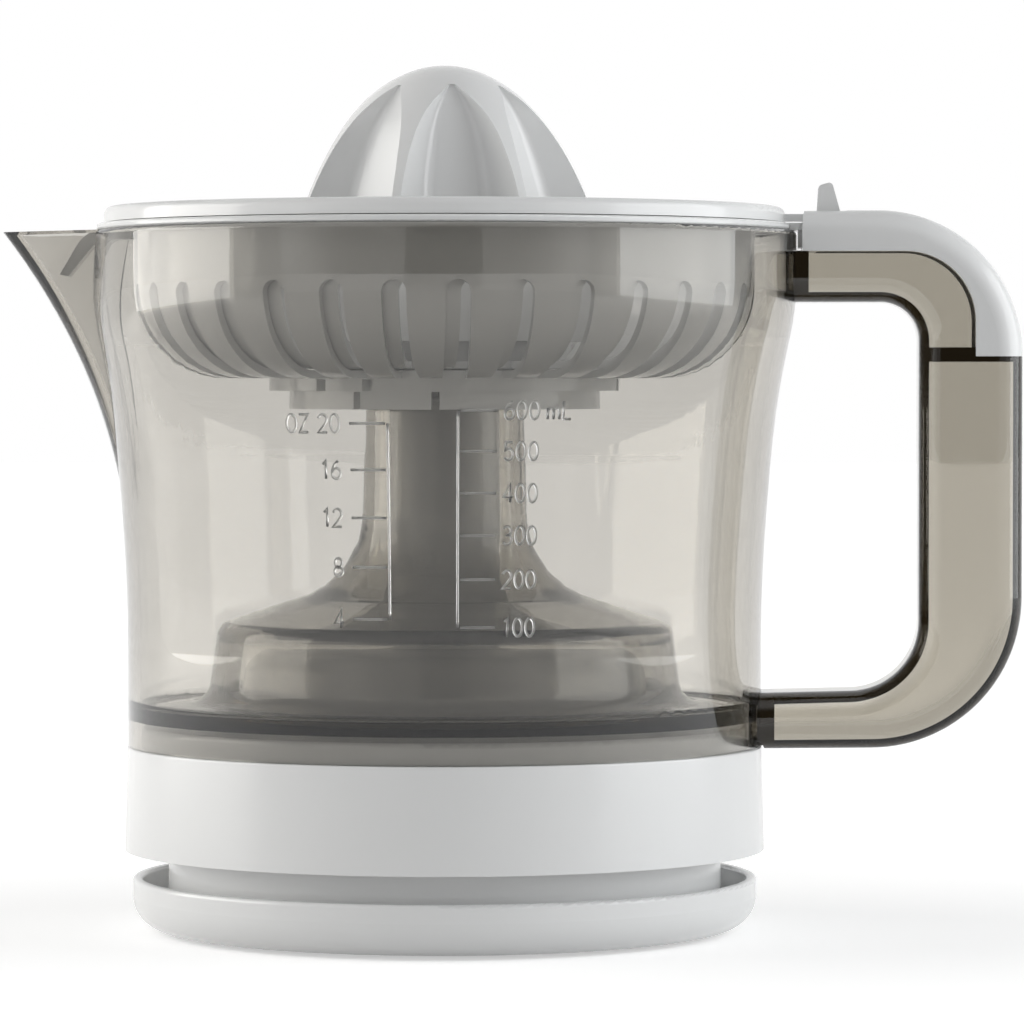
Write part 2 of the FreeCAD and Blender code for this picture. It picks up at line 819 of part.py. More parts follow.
def make_rotor(doc, s):
    x, y = s.rotor_x, s.rotor_y
    middle = s.core_bottom + s.core_stack / 2
    magnet = tube(doc, "rotor_magnet", s.magnet_radius, s.pin_radius, s.magnet_length,
                  x, y, middle - s.magnet_length / 2)
    foot = tray_inside(s) + 0.6
    top = s.plate_bottom + s.plate_thick + 5.3
    shaft = cylinder(doc, "rotor_shaft", s.pin_radius, top - foot, x, y, foot)
    outer, inner = s.pin_radius + 2.5, s.pin_radius + s.run_gap
    low = tube(doc, "bearing_low", outer, inner, 3.6, x, y, tray_inside(s))
    high = tube(doc, "bearing_high", outer, inner, s.plate_thick + 1.6, x, y, s.plate_bottom - 1.2)
    return [magnet, shaft, group(doc, "rotor_bearings", [low, high])]


def make_gear_plate(doc, s, train):
    body = new_body(doc, "gear_plate")
    left, right = -s.core_left + 1.0, s.rotor_x + 14.0
    rear, front = s.rotor_y + 18.5, -14.0
    blank = outline(sketch_on(body, "XY_Plane", "plate", s.plate_bottom), [
        (left, front, 4.0), (right, front, 4.0), (right, s.rotor_y + 12.0, 3.0), (s.rotor_x, rear, 3.0),
        (-12.0, rear, 3.0), (left, s.rotor_y + 14.0, 3.0)])
    raised(body, "Pad", blank, s.plate_thick)
    rounds = [(0, 0, bush_radius(s)), (s.rotor_x, s.rotor_y, s.pin_radius + 2.5)]
    rounds += [(round(p.x, 6), round(p.y, 6), s.pin_radius) for p in (train.first, train.second)]
    rounds += [(x, y, s.screw_radius) for x, y in POSTS]
    rounds += [(x, y, s.screw_radius) for x, y in motor_fixings(s)]
    holes = circles(sketch_on(body, "XY_Plane", "plate_holes", s.plate_bottom), rounds)
    raised(body, "Pocket", holes, s.plate_thick, backward=True)
    return body


def motor_fixings(s):
    x = -s.core_left + s.leg_width / 2
    return [(x, s.rotor_y - leg_middle(s)), (x, s.rotor_y + leg_middle(s))]


def make_motor_fixings(doc, s):
    core_top = s.core_bottom + s.core_stack
    spacers, screws = [], []
    for number, (x, y) in enumerate(motor_fixings(s), start=1):
        spacers.append(tube(doc, f"spacer_{number}", s.screw_radius + 1.5, s.screw_radius,
                            s.plate_bottom - core_top, x, y, core_top))
        screws.append(screw(doc, f"motor_screw_{number}", s, x, y, s.plate_bottom + s.plate_thick,
                            s.plate_bottom + s.plate_thick - core_top, False))
    return [group(doc, "motor_spacers", spacers), group(doc, "motor_screws", screws)]


# Drive shaft, spring and switch

def hexagon(half, bottom, top):
    corner = half / math.cos(math.pi / 6)
    turns = [k * math.pi / 3 for k in range(7)]
    points = [Vector(corner * math.cos(turn), corner * math.sin(turn), bottom) for turn in turns]
    points[-1] = points[0]
    return Part.Face(Part.makePolygon(points)).extrude(Vector(0, 0, top - bottom))


def make_shaft(doc, s):
    radius, bottom, top = s.shaft_radius.value, s.shaft_bottom.value, s.shaft_top.value
    flats_low = s.clip_bottom.value - 1.0
    flats_high = s.sleeve_bottom.value + s.press_travel.value + 0.4
    hex_low = top - s.hex_length.value
    shaft = round_bar(radius, bottom, flats_low)
    shaft = shaft.fuse([double_flat(radius, s.flat_half.value, flats_low, flats_high),
                        round_bar(radius, flats_high, hex_low),
                        hexagon(s.hex_half.value, hex_low, top).common(round_bar(radius, hex_low, top))])
    parts = [solid_feature(doc, "drive_shaft", shaft.removeSplitter())]
    clip_top = s.clip_bottom.value + s.clip_thick.value
    clip = round_bar(s.clip_radius.value, s.clip_bottom.value, clip_top)
    clip = clip.cut(double_flat(radius, s.flat_half.value, s.clip_bottom.value, clip_top))
    parts.append(solid_feature(doc, "shaft_clip", clip))
    return parts


def make_bushes(doc, s):
    outer, inner = bush_radius(s), s.shaft_radius + s.run_gap
    top = tube(doc, "upper_bush", outer, inner, s.bush_length, 0, 0, s.tower_top - s.bush_length)
    low_height = s.plate_thick + 2.2
    low = tube(doc, "lower_bush", outer, inner, low_height, 0, 0, s.plate_bottom - 1.8)
    return [top, low]


def make_spring(doc, s):
    low = s.plate_bottom.value + s.plate_thick.value + 0.45
    high = s.clip_bottom.value - 0.05
    wire, radius = s.spring_wire.value / 2, s.spring_radius.value
    rise = high - low - 2 * wire
    path = Part.makeHelix(rise / s.spring_turns.value, rise, radius)
    ring = Part.Wire(Part.makeCircle(wire, Vector(radius, 0, 0), Vector(0, 1, 0)))
    coil = Part.Wire(path.Edges).makePipeShell([ring], True, True)
    return solid_feature(doc, "return_spring", coil, Vector(0, 0, low + wire))


def make_switch(doc, s):
    foot = tray_inside(s) + 3.0
    long, wide = s.switch_long / 2, s.switch_wide / 2
    body = box(doc, "switch_case", s.switch_long, s.switch_wide, s.switch_top - foot, -long, -wide, foot)
    half_long, half_wide = s.button_long / 2, s.button_wide / 2
    gap = s.button_gap
    button_bottom = s.switch_top - s.press_travel
    well = box(doc, "switch_well", s.button_long + gap * 2, s.button_wide + gap * 2, s.press_travel * 2 + 1.0,
               -half_long - gap, -half_wide - gap, button_bottom - s.press_travel - 0.5)
    case = cut(doc, "start_switch", body, well)
    button = box(doc, "switch_button", s.button_long, s.button_wide, s.shaft_bottom - 0.05 - button_bottom,
                 -half_long, -half_wide, button_bottom)
    return [case, button]


# Jug, handle and cap

def wall_corners(s, inset):
    """Side of the jug, drawn in by inset: upright skirt, two flares and an upright collar."""
    return [(s.jug_foot_radius - inset, s.flare_start, 14.0),
            (s.flare_radius - inset, s.flare_middle, 12.0),
            (s.jug_rim_radius - inset, s.collar_bottom, 6.0)]


def make_jug(doc, s):
    wall = s.jug_wall
    floor_under = s.floor_top - s.floor_thick
    inner_rim = s.jug_rim_radius - wall
    inner_side = wall_corners(s, wall)
    bottom = s.seat_top + s.seat_gap
    shell = revolved(doc, "jug_shell", [
        (s.jug_foot_radius, bottom),
        *wall_corners(s, 0),
        (s.jug_rim_radius, s.jug_rim_top, 0.9),
        (inner_rim, s.jug_rim_top, 0.9),
        *reversed(inner_side),
        (s.jug_foot_radius - wall, s.floor_top, 1.6),
        (s.hat_radius, s.floor_top + 0.9, 4.2),
        (s.hat_shoulder, s.hat_top, 2.0),
        (s.column_foot, s.column_blend, 13.5),
        (s.column_radius, s.column_top, 0.8),
        (s.column_radius - wall, s.column_top, 0.8),
        (s.column_foot - wall, s.column_blend - wall, 12.0),
        (s.hat_shoulder - wall, s.hat_top - wall, 1.5),
        (s.hat_radius - wall, floor_under, 2.5),
        (s.jug_foot_radius - wall, floor_under),
        (s.jug_foot_radius - wall, bottom),
    ])
    cavity = revolved(doc, "jug_cavity", [
        (0, s.floor_top),
        (s.jug_foot_radius - wall, s.floor_top),
        *inner_side,
        (inner_rim, s.jug_rim_top + 4.0),
        (0, s.jug_rim_top + 4.0),
    ])
    outer = spout_loft(doc, s, "spout_outer", 0.0, 0.0)
    inner = spout_loft(doc, s, "spout_inner", 1.0, 2.0)
    lip = cut(doc, "spout_lip", outer, cavity)
    whole = join(doc, "jug_whole", [shell, lip])
    return cut(doc, "jug", whole, inner)


SPOUT_STATIONS = (0.0, 0.3, 0.62, 1.0)


def spout_loft(doc, s, name, inset, lift):
    """Wedge from the wall out to the pouring edge; inset counts wall thicknesses."""
    sections = []
    rise = s.jug_rim_top - s.spout_start
    grow = s.jug_wall * inset
    for number, share in enumerate(SPOUT_STATIONS):
        flare = round(share ** 1.85, 5)
        apex = s.jug_foot_radius + 3.4 + (s.spout_apex - s.jug_foot_radius - 3.4) * flare - grow * 1.35
        half = s.spout_half_width * (0.3 + 0.7 * share) - grow * 1.35
        root = s.jug_foot_radius - 3.5 - grow
        sketch = doc.addObject("Sketcher::SketchObject", f"{name}_{number}")
        top = number == len(SPOUT_STATIONS) - 1
        height = s.spout_start + rise * share + (lift if top else lift * 1.2)
        bind(sketch, "Placement.Base.z", height)
        blunt = 7.5 - 3.0 * share - 1.5 * inset
        sections.append(outline(sketch, [(-root, -half), (-root, half), (-apex, 0, blunt)]))
    loft = doc.addObject("Part::Loft", name)
    loft.Sections = sections
    loft.Solid = True
    return loft


def grip_corners(s, inset, upper_root, lower_root):
    """Side view of the handle, drawn in by inset."""
    return [
        (upper_root, s.grip_under + inset),
        (s.grip_inner + inset, s.grip_under + inset, 8.0 + inset),
        (s.grip_inner + inset, s.grip_low_top - inset, 14.0 + inset),
        (lower_root, s.grip_low_top - 1.0 - inset),
        (lower_root, s.grip_low_bottom + inset),
        (s.grip_outer - inset, s.grip_low_bottom + 0.6 + inset, 31.0 - inset),
        (s.grip_outer - inset, s.grip_top - inset, 30.0 - inset),
        (upper_root, s.grip_top - inset),
    ]


def grip_blank(doc, s, name):
    """Whole handle with rounded long edges."""
    body = new_body(doc, name)
    root = s.jug_foot_radius - 6.0
    sketch = outline(sketch_on(body, "XZ_Plane", name + "_side"), grip_corners(s, 0, root, root))
    pad = raised(body, "Pad", sketch, s.grip_half_width * 2, both_ways=True)
    doc.recompute()
    half = s.grip_half_width.value
    start = s.jug_foot_radius.value - 5.9
    edges = []
    for number, edge in enumerate(pad.Shape.Edges, start=1):
        flat = all(abs(abs(v.Y) - half) < 1e-6 for v in edge.Vertexes)
        side = abs(edge.Vertexes[0].Y - edge.Vertexes[-1].Y) < 1e-6
        if flat and side and max(v.X for v in edge.Vertexes) > start:
            edges.append(f"Edge{number}")
    fillet = body.newObject("PartDesign::Fillet", name + "_round")
    fillet.Base = (pad, edges)
    fillet.Radius = s.grip_round.value
    bind(fillet, "Radius", s.grip_round)
    body.Tip = fillet
    return body


def cap_side(s, above, shift):
    """Outline on one side of the split between handle and cap."""
    near = s.jug_foot_radius - 8.0
    far = s.grip_outer + 5.0
    split = s.cap_split + shift
    back = s.cap_back + shift
    end = s.cap_end + shift
    step = [(near, split), (back, split, 14.5), (back, end), (far, end)]
    if above:
        return step + [(far, s.grip_top + 5.0), (near, s.grip_top + 5.0)]
    return step + [(far, s.grip_low_bottom - 5.0), (near, s.grip_low_bottom - 5.0)]


def make_handle(doc, s):
    wall = s.grip_wall
    handle = grip_blank(doc, s, "handle_body")
    hollow = outline(sketch_on(handle, "XZ_Plane", "handle_hollow"), grip_corners(
        s, wall, s.jug_rim_radius + wall, s.jug_foot_radius + wall + 0.3))
    raised(handle, "Pocket", hollow, (s.grip_half_width - wall) * 2, both_ways=True)
    web = outline(sketch_on(handle, "XZ_Plane", "handle_web"), [
        (s.grip_inner + 1.0, s.web_bottom), (s.grip_outer - 1.0, s.web_bottom),
        (s.grip_outer - 1.0, s.web_top), (s.grip_inner + 1.0, s.web_top)])
    raised(handle, "Pad", web, (s.grip_half_width - wall) * 2 + 0.4, both_ways=True)
    above = outline(sketch_on(handle, "XZ_Plane", "handle_open"), cap_side(s, True, 0))
    raised(handle, "Pocket", above, s.grip_half_width * 2 + 4, both_ways=True)
    cap = grip_blank(doc, s, "cap_body")
    below = outline(sketch_on(cap, "XZ_Plane", "cap_open"), cap_side(s, False, 0.05))
    raised(cap, "Pocket", below, s.grip_half_width * 2 + 4, both_ways=True)
    inside = outline(sketch_on(cap, "XZ_Plane", "cap_hollow"), [
        (s.jug_rim_radius + 4.0, s.cap_split - 1.0), (s.cap_back - 1.0, s.cap_split - 1.0, 14.5),
        (s.cap_back - 1.0, s.cap_end - 1.0), (s.grip_outer - wall, s.cap_end - 1.0),
        (s.grip_outer - wall, s.grip_top - 5.0 - wall, 25.0),
        (s.jug_rim_radius + 4.0, s.grip_top - 5.0 - wall)])
    raised(cap, "Pocket", inside, (s.grip_half_width - wall) * 2, both_ways=True)
    reach = s.lever_half_width + lever_reach(s) * 0.05 + 0.6
    track = outline(sketch_on(cap, "XY_Plane", "lever_track", lever_under(s) - 0.4), [
        (s.jug_foot_radius, -reach), (lever_reach(s) + 1.2, -reach, 1.5),
        (lever_reach(s) + 1.2, reach, 1.5), (s.jug_foot_radius, reach)])
    raised(cap, "Pocket", track, 20.0, backward=True)
    # room for the jug, the housing below it and the tab over its rim
    housing = s.housing_foot_radius + 0.4
    step = s.seat_top + 0.4
    notch = s.jug_rim_top - s.tab_drop - 0.6
    blank = revolved(doc, "jug_keep", [
        (0, s.seat_top - 5.0),
        (housing, s.seat_top - 5.0),
        (housing, step),
        (s.jug_foot_radius + s.seat_gap, step),
        *wall_corners(s, -s.seat_gap),
        (s.jug_rim_radius + s.seat_gap, notch),
        (tab_reach(s) + 0.5, notch),
        (tab_reach(s) + 0.5, s.grip_top + 6.0),
        (0, s.grip_top + 6.0),
    ])
    return [cut(doc, "jug_handle", handle, blank), cut(doc, "handle_cap", cap, blank)]


# Basket, regulator and reamer

def flange_under(s):
    return s.jug_rim_top + s.seat_gap


def flange_top(s):
    return flange_under(s) + s.flange_thick


def flange_radius(s):
    return s.jug_rim_radius - s.flange_lap


def tab_reach(s):
    return flange_radius(s) + s.tab_length


def rim_radius(s):
    return flange_radius(s) - s.rim_step


def lever_start(s):
    return s.jug_rim_radius + s.lever_gap


def lever_reach(s):
    return lever_start(s) + s.lever_depth


def rim_bottom(s):
    return flange_top(s) + s.rim_gap


def lever_under(s):
    return rim_bottom(s) + 0.3


def slot_sketch(body, s, name, turn, low):
    """Slot outline on a plane facing out from the axis, turned about it."""
    sketch = sketch_on(body, "YZ_Plane", name)
    inner = s.slot_inner
    angle = math.radians(turn)
    sketch.AttachmentOffset = Placement(
        Vector(inner.value * math.sin(angle), 0, inner.value * math.cos(angle)),
        Rotation(Vector(0, 1, 0), turn))
    bind(sketch, "AttachmentOffset.Base.x", inner * round(math.sin(angle), 8))
    bind(sketch, "AttachmentOffset.Base.z", inner * round(math.cos(angle), 8))
    half = s.slot_width / 2
    bend = half * 0.98
    return outline(sketch, [(-half, low), (half, low), (half, s.slot_top, bend), (-half, s.slot_top, bend)])


SLIT_ANGLES = (0, 30)
NOTCH_ANGLES = (8, 110)


def turned_bar(sketch, angle, near, far, width):
    """Bar across a ring at an angle from the handle's side."""
    along = (round(math.cos(math.radians(angle)), 6), round(math.sin(math.radians(angle)), 6))
    half = width / 2
    ends = ((near, -half), (far, -half), (far, half), (near, half))
    return outline(sketch, [
        (out * along[0] - side * along[1], out * along[1] + side * along[0]) for out, side in ends])


def make_basket(doc, s):
    wall = s.bowl_wall
    rest, top, edge = flange_under(s), flange_top(s), flange_radius(s)
    under = s.bowl_bottom
    plate = under - s.plate_drop
    ring = plate - s.ring_drop
    floor = under + wall
    chimney = floor + s.chimney_rise
    body = revolved(doc, "strainer_basket", [
        (edge, rest, 0.5),
        (edge, top, 0.5),
        (s.bowl_radius - wall, top),
        (s.bowl_radius - wall, floor, s.bowl_round - wall),
        (s.chimney_radius + wall, floor, 1.0),
        (s.chimney_radius + wall, chimney),
        (s.chimney_radius, chimney),
        (s.chimney_radius, under),
        (s.ring_radius - s.ring_wall, under),
        (s.ring_radius - s.ring_wall, ring),
        (s.ring_radius, ring),
        (s.ring_radius, plate),
        (s.plate_radius, plate),
        (s.plate_radius, under),
        (s.bowl_radius, under, s.bowl_round),
        (s.bowl_radius, rest, 0.8),
    ])
    half_pitch = 180.0 / s.slot_count.value
    slot = slot_sketch(body, s, "slot", half_pitch, under - 2.0)
    opening = raised(body, "Pocket", slot, s.bowl_radius, backward=True)
    ring_of(body, "slots", opening, s.slot_count)
    # tab with a lip outside the rim towards the handle, and curved tongue in the spout
    reach = tab_reach(s)
    tab = outline(sketch_on(body, "XY_Plane", "tab", rest), [
        (s.bowl_radius, -s.tab_half_width), (reach, -s.tab_half_width, 1.0),
        (reach, s.tab_half_width, 1.0), (s.bowl_radius, s.tab_half_width)])
    raised(body, "Pad", tab, s.flange_thick)
    lip = outline(sketch_on(body, "XZ_Plane", "tab_lip"), [
        (reach - s.tab_lip, rest - s.tab_drop), (reach, rest - s.tab_drop),
        (reach, rest + 0.4), (reach - s.tab_lip, rest + 0.4)])
    raised(body, "Pad", lip, s.tab_half_width * 2 - 2.0, both_ways=True)
    tongue = outline(sketch_on(body, "XZ_Plane", "tongue"), [
        (-(s.bowl_radius + 1.0), rest + 0.3), (-(edge + 1.0), rest + 0.3, 2.5),
        (-(edge + 6.6), rest - 8.4), (-(edge + 4.6), rest - 8.8),
        (-(edge - 1.6), rest - 1.6, 2.0), (-(s.bowl_radius + 1.0), rest - 1.6)])
    raised(body, "Pad", tongue, 7.6, both_ways=True)
    # slits of the segmented ring, notches of the plate and the ways for the regulator's fingers
    inside = s.ring_radius - s.ring_wall - 1
    for angle in SLIT_ANGLES:
        sketch = sketch_on(body, "XY_Plane", f"slit_{angle}", ring)
        slit = turned_bar(sketch, angle, inside, s.ring_radius + 1, s.ring_slit)
        gap = raised(body, "Pocket", slit, s.ring_drop - 0.2, backward=True)
        ring_of(body, f"slits_{angle}", gap, 3)
    for angle in NOTCH_ANGLES:
        notch = turned_bar(sketch_on(body, "XY_Plane", f"notch_{angle}", plate), angle,
                           s.ring_radius + 0.3, s.plate_radius + 1, s.notch_width)
        gap = raised(body, "Pocket", notch, s.plate_drop - 0.2, backward=True)
        ring_of(body, f"notches_{angle}", gap, 3)
    swing = FINGER_HALF + finger_swing(s)
    near, far = s.finger_radius - s.hook_reach - 0.4, s.finger_radius + s.finger_wall + 0.6
    way = outline(sketch_on(body, "XY_Plane", "finger_way", under - 1.0), [
        (near, -swing), (far, -swing), (far, swing), (near, swing)])
    gate = raised(body, "Pocket", way, s.bowl_wall + 2, backward=True)
    ring_of(body, "finger_ways", gate, 3)
    return body


FINGER_HALF = 4.0


def finger_swing(s):
    return s.finger_radius * 0.06 + 0.4


def make_regulator(doc, s):
    low = rim_bottom(s)
    top = low + s.rim_height
    outer = s.bowl_radius - s.bowl_wall - s.inner_gap
    inner = outer - s.inner_wall
    under = s.bowl_bottom + s.bowl_wall + s.inner_gap
    floor = under + s.inner_wall
    bend = s.bowl_round - s.bowl_wall - s.inner_gap
    hole = s.chimney_radius + s.bowl_wall + 1.4
    edge = rim_radius(s)
    body = revolved(doc, "pulp_regulator", [
        (edge, low),
        (edge, top, 1.6),
        (inner, top, 1.2),
        (inner, floor, bend - s.inner_wall),
        (hole, floor),
        (hole, under),
        (outer, under, bend),
        (outer, low),
    ])
    half_pitch = 180.0 / s.slot_count.value
    slot = slot_sketch(body, s, "inner_slot", half_pitch + s.lever_swing.value, under - 2.0)
    opening = raised(body, "Pocket", slot, s.bowl_radius, backward=True)
    ring_of(body, "inner_slots", opening, s.slot_count)
    # lever: tongue over the rim of the jug with an upright fin
    start, reach, half = lever_start(s), lever_reach(s), s.lever_half_width
    tongue = outline(sketch_on(body, "XY_Plane", "lever_tongue", lever_under(s)), [
        (edge - 3.0, -half), (reach, -half, 0.8), (reach, half, 0.8), (edge - 3.0, half)])
    raised(body, "Pad", tongue, 1.5)
    fin = outline(sketch_on(body, "XZ_Plane", "lever_fin"), [
        (start, lever_under(s)), (reach, lever_under(s)), (reach - 2.3, s.lever_top, 0.9),
        (start + 0.5, s.lever_top - 0.8, 0.7)])
    raised(body, "Pad", fin, half * 2, both_ways=True)
    # fingers that hook under the floor of the basket
    hook_top = s.bowl_bottom - 0.3
    finger = outline(sketch_on(body, "XZ_Plane", "finger"), [
        (s.finger_radius, floor - 0.2), (s.finger_radius, hook_top),
        (s.finger_radius - s.hook_reach, hook_top), (s.finger_radius, hook_top - 2.6),
        (s.finger_radius + s.finger_wall, hook_top - 2.6), (s.finger_radius + s.finger_wall, floor - 0.2)])
    hook = raised(body, "Pad", finger, FINGER_HALF * 2, both_ways=True)
    ring_of(body, "fingers", hook, 3)
    return body


# drop below the tip, share of the full depth and share of the full width of a valley
RIDGE_STATIONS = (
    (4.6, 0.12, 0.16), (6.2, 0.42, 0.40), (9.0, 0.66, 0.68), (14.0, 0.86, 0.88), (25.0, 1.0, 0.97),
    (42.0, 1.0, 0.97), (66.0, 1.0, 0.97))
VALLEY_DEPTH = 0.32
VALLEY_FLOOR = 0.22
VALLEY_ROUND = 0.06
# turn of the hexagonal socket against the ridges, degrees
SOCKET_TURN = -5.5
REAMER_TURN = 120.0 - SOCKET_TURN


def crest_radius(s, drop):
    """Radius of the reamer's crests at a drop below its tip, held below the widest level."""
    share = max(0.0, 1.0 - drop / s.reamer_rise.value)
    return s.reamer_radius * round(math.sqrt(1.0 - share * share), 6)


def make_reamer(doc, s):
    body = new_body(doc, "reamer_cone")
    tip = s.reamer_centre + s.reamer_rise
    # half ellipse turned about the axis, and its foot taken off
    sketch = sketch_on(body, "XZ_Plane", "crest_profile")
    low, wide, high = s.reamer_centre.value, s.reamer_radius.value, tip.value
    sweep = Part.Ellipse(Vector(0, high, 0), Vector(wide, low, 0), Vector(0, low, 0))
    bow = sketch.addGeometry(Part.ArcOfEllipse(sweep, -math.pi / 2, 0))
    base = sketch.addGeometry(Part.LineSegment(Vector(wide, low, 0), Vector(0, low, 0)))
    axis = sketch.addGeometry(Part.LineSegment(Vector(0, low, 0), Vector(0, high, 0)))
    long_axis = sketch.GeometryCount
    sketch.exposeInternalGeometry(bow)
    rules = Constraints(sketch)
    rules.add("Coincident", bow, 1, base, 1)
    rules.add("Coincident", base, 2, axis, 1)
    rules.add("Coincident", axis, 2, bow, 2)
    rules.add("Coincident", bow, 3, axis, 1)
    rules.add("PointOnObject", long_axis, 1, -2)
    rules.pin(base, 1, s.reamer_radius, s.reamer_centre)
    rules.pin(axis, 1, 0, s.reamer_centre)
    rules.pin(axis, 2, 0, tip)
    rules.close()
    turn = body.newObject("PartDesign::Revolution", "crest_turn")
    turn.Profile = sketch
    turn.ReferenceAxis = (sketch, ["V_Axis"])
    turn.Angle = 360
    revolved(doc, "foot", [
        (0, s.reamer_centre - 1.0), (s.reamer_radius + 1.0, s.reamer_centre - 1.0),
        (s.reamer_radius + 1.0, s.reamer_bottom), (0, s.reamer_bottom)], "PartDesign::Groove", body)
    # valleys between the ridges
    half_step = math.pi / s.ridge_count.value
    sections = []
    for number, (drop, depth, width) in enumerate(RIDGE_STATIONS):
        crest = crest_radius(s, drop)
        bend = crest * VALLEY_ROUND * width
        floor_x = crest * (1 - VALLEY_DEPTH * depth)
        floor_y = crest * VALLEY_FLOOR * width
        edge_x = crest * round(math.cos(half_step * width), 6)
        edge_y = crest * round(math.sin(half_step * width), 6)
        out_x = edge_x + (edge_x - floor_x) * 1.2 + 2.0
        out_y = edge_y + (edge_y - floor_y) * 1.2
        sketch = sketch_on(body, "XY_Plane", f"valley_{number}", tip - drop)
        sections.append(outline(sketch, [
            (floor_x, -floor_y, bend), (out_x, -out_y), (out_x, out_y), (floor_x, floor_y, bend)]))
    valley = body.newObject("PartDesign::SubtractiveLoft", "valley")
    valley.Profile = sections[0]
    valley.Sections = sections[1:]
    ring_of(body, "valleys", valley, s.ridge_count)
    # hollow under the cone with a hub for the shaft
    revolved(doc, "hollow", [
        (s.hub_radius, s.reamer_bottom - 1.0), (s.reamer_radius * 0.58, s.reamer_bottom - 1.0),
        (s.reamer_radius * 0.57, s.reamer_bottom + 4.0), (s.reamer_radius * 0.43, s.reamer_bottom + 30.0),
        (s.hub_radius, s.reamer_bottom + 38.0)], "PartDesign::Groove", body)
    hub = circles(sketch_on(body, "XY_Plane", "hub", s.hub_bottom), [(0, 0, s.hub_radius)])
    raised(body, "Pad", hub, s.reamer_bottom - s.hub_bottom + 2.0)
    reach = (s.hex_half + s.socket_gap) / round(math.cos(math.pi / 6), 8)
    turns = [math.radians(60 * k + SOCKET_TURN) for k in range(6)]
    corners = [(reach * round(math.cos(turn), 8), reach * round(math.sin(turn), 8)) for turn in turns]
    socket = outline(sketch_on(body, "XY_Plane", "socket", s.hub_bottom), corners)
    raised(body, "Pocket", socket, s.shaft_top + 0.6 - s.hub_bottom, backward=True)
    body.Placement = Placement(Vector(), Rotation(Vector(0, 0, 1), REAMER_TURN))
    return body


def build():
    doc = FreeCAD.newDocument("citrus_press")
    s = Sheet(doc)
    pieces = [make_housing(doc, s)]
    pieces += make_spool(doc, s)
    pieces += [make_tray(doc, s), make_feet(doc, s)]
    pieces += make_screws(doc, s)
    pieces.append(make_gland(doc, s))
    pieces.append(make_stator(doc, s))
    pieces += make_windings(doc, s)
    gears, train = make_gears(doc, s)
    pieces += gears
    pieces += make_rotor(doc, s)
    pieces.append(make_gear_plate(doc, s, train))
    pieces += make_motor_fixings(doc, s)
    pieces += make_shaft(doc, s)
    pieces += make_bushes(doc, s)
    pieces.append(make_spring(doc, s))
    pieces += make_switch(doc, s)
    pieces.append(make_jug(doc, s))
    pieces += make_handle(doc, s)
    pieces += [make_basket(doc, s), make_regulator(doc, s), make_reamer(doc, s)]
    doc.recompute()
    return doc, pieces, s


def write(doc, pieces, s):
    for item in doc.Objects:
        if "Invalid" in item.State or "Error" in item.State:
            raise RuntimeError(f"{item.Name} did not recompute: {item.State}")
    os.makedirs("parts", exist_ok=True)
    for piece in pieces:
        if piece.Shape.isNull() or not piece.Shape.isValid():
            raise RuntimeError(f"{piece.Label} has no valid shape")
        shape = piece.Shape.translated(Vector(-s.axis_offset.value, 0, 0))
        shape.exportStep(f"parts/{piece.Label}.step")


document, built, sizes = build()
write(document, built, sizes)
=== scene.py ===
import math

import bmesh
import bpy
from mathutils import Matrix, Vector
from mathutils.bvhtree import BVHTree


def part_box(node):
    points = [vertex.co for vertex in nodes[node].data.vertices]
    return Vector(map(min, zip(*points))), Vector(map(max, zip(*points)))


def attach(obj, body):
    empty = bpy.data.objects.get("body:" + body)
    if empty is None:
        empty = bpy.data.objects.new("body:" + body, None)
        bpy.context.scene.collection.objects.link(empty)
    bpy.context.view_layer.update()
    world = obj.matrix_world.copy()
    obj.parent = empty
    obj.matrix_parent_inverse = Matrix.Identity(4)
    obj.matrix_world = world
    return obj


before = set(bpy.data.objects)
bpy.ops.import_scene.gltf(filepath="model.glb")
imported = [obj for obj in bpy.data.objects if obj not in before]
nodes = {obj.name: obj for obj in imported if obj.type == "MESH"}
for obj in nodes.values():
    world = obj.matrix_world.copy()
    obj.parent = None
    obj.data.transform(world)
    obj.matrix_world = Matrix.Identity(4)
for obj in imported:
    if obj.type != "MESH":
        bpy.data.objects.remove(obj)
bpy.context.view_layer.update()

MM = 0.001
WHITE = (1.0, 1.0, 1.0)

# The drive axis stands in the middle of the round motor housing.
housing_low, housing_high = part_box("motor_housing")
AXIS_X = (housing_low.x + housing_high.x) / 2


# Shader nodes

def math_node(tree, operation, one, two):
    """Result of a math node; each of its inputs is a socket or a number."""
    node = tree.nodes.new("ShaderNodeMath")
    node.operation = operation
    for entry, value in zip(node.inputs, (one, two)):
        if isinstance(value, bpy.types.NodeSocket):
            tree.links.new(value, entry)
        else:
            entry.default_value = value
    return node.outputs["Value"]


def map_range(tree, source, span, result, shape="LINEAR"):
    """A value brought from one span to another and held at its ends."""
    node = tree.nodes.new("ShaderNodeMapRange")
    node.interpolation_type = shape
    for name, value in zip(("From Min", "From Max", "To Min", "To Max"), (*span, *result)):
        node.inputs[name].default_value = value
    tree.links.new(source, node.inputs["Value"])
    return node.outputs["Result"]


# Materials

# span of a noise pattern that is used
NOISE_SPAN = (0.3, 0.7)
# scale of the cloudy colour and of the uneven gloss of plastic
CLOUD_SCALE = 12.0
GLOSS_SCALE = 30.0
# scale and height of the drawn marks on metal
DRAWN_SCALE = 700.0
DRAWN_HEIGHT = 0.00002
# scale of the uneven polish of clear plastic, its refraction, and the way its tint is stated for
POLISH_SCALE = 60.0
CLEAR_IOR = 1.5
TINT_WAY = 0.005
FOG_DENSITY = 400.0


